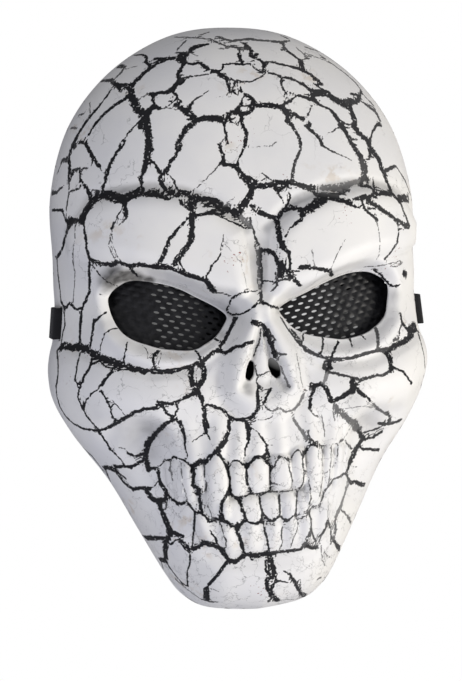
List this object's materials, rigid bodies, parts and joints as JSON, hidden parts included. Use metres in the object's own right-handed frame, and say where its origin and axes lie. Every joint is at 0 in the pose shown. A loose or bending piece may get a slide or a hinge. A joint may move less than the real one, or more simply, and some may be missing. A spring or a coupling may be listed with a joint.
{
  "type": "skull mask",
  "caption": "Full-face skull mask with crackled white paint, dark mesh eyes, a sculpted row of teeth and an elastic head strap.",
  "frame": {"origin": "under the middle of the mask, in the plane of its rim, which is the surface that it lies on", "axes": "+Z out of the face, +Y towards the crown, +X towards the right of someone who looks at the face"},
  "size_m": [0.1902, 0.29, 0.098],
  "materials": {
    "shell_paint": "off-white satin paint with a black crackle, hard moulded plastic",
    "mesh_black": "black perforated sheet",
    "strap_black": "woven black elastic"
  },
  "bodies": {
    "root": {"mask_shell": "shell_paint", "eye_mesh_left": "mesh_black", "eye_mesh_right": "mesh_black", "strap": "strap_black"}
  },
  "joints": []
}
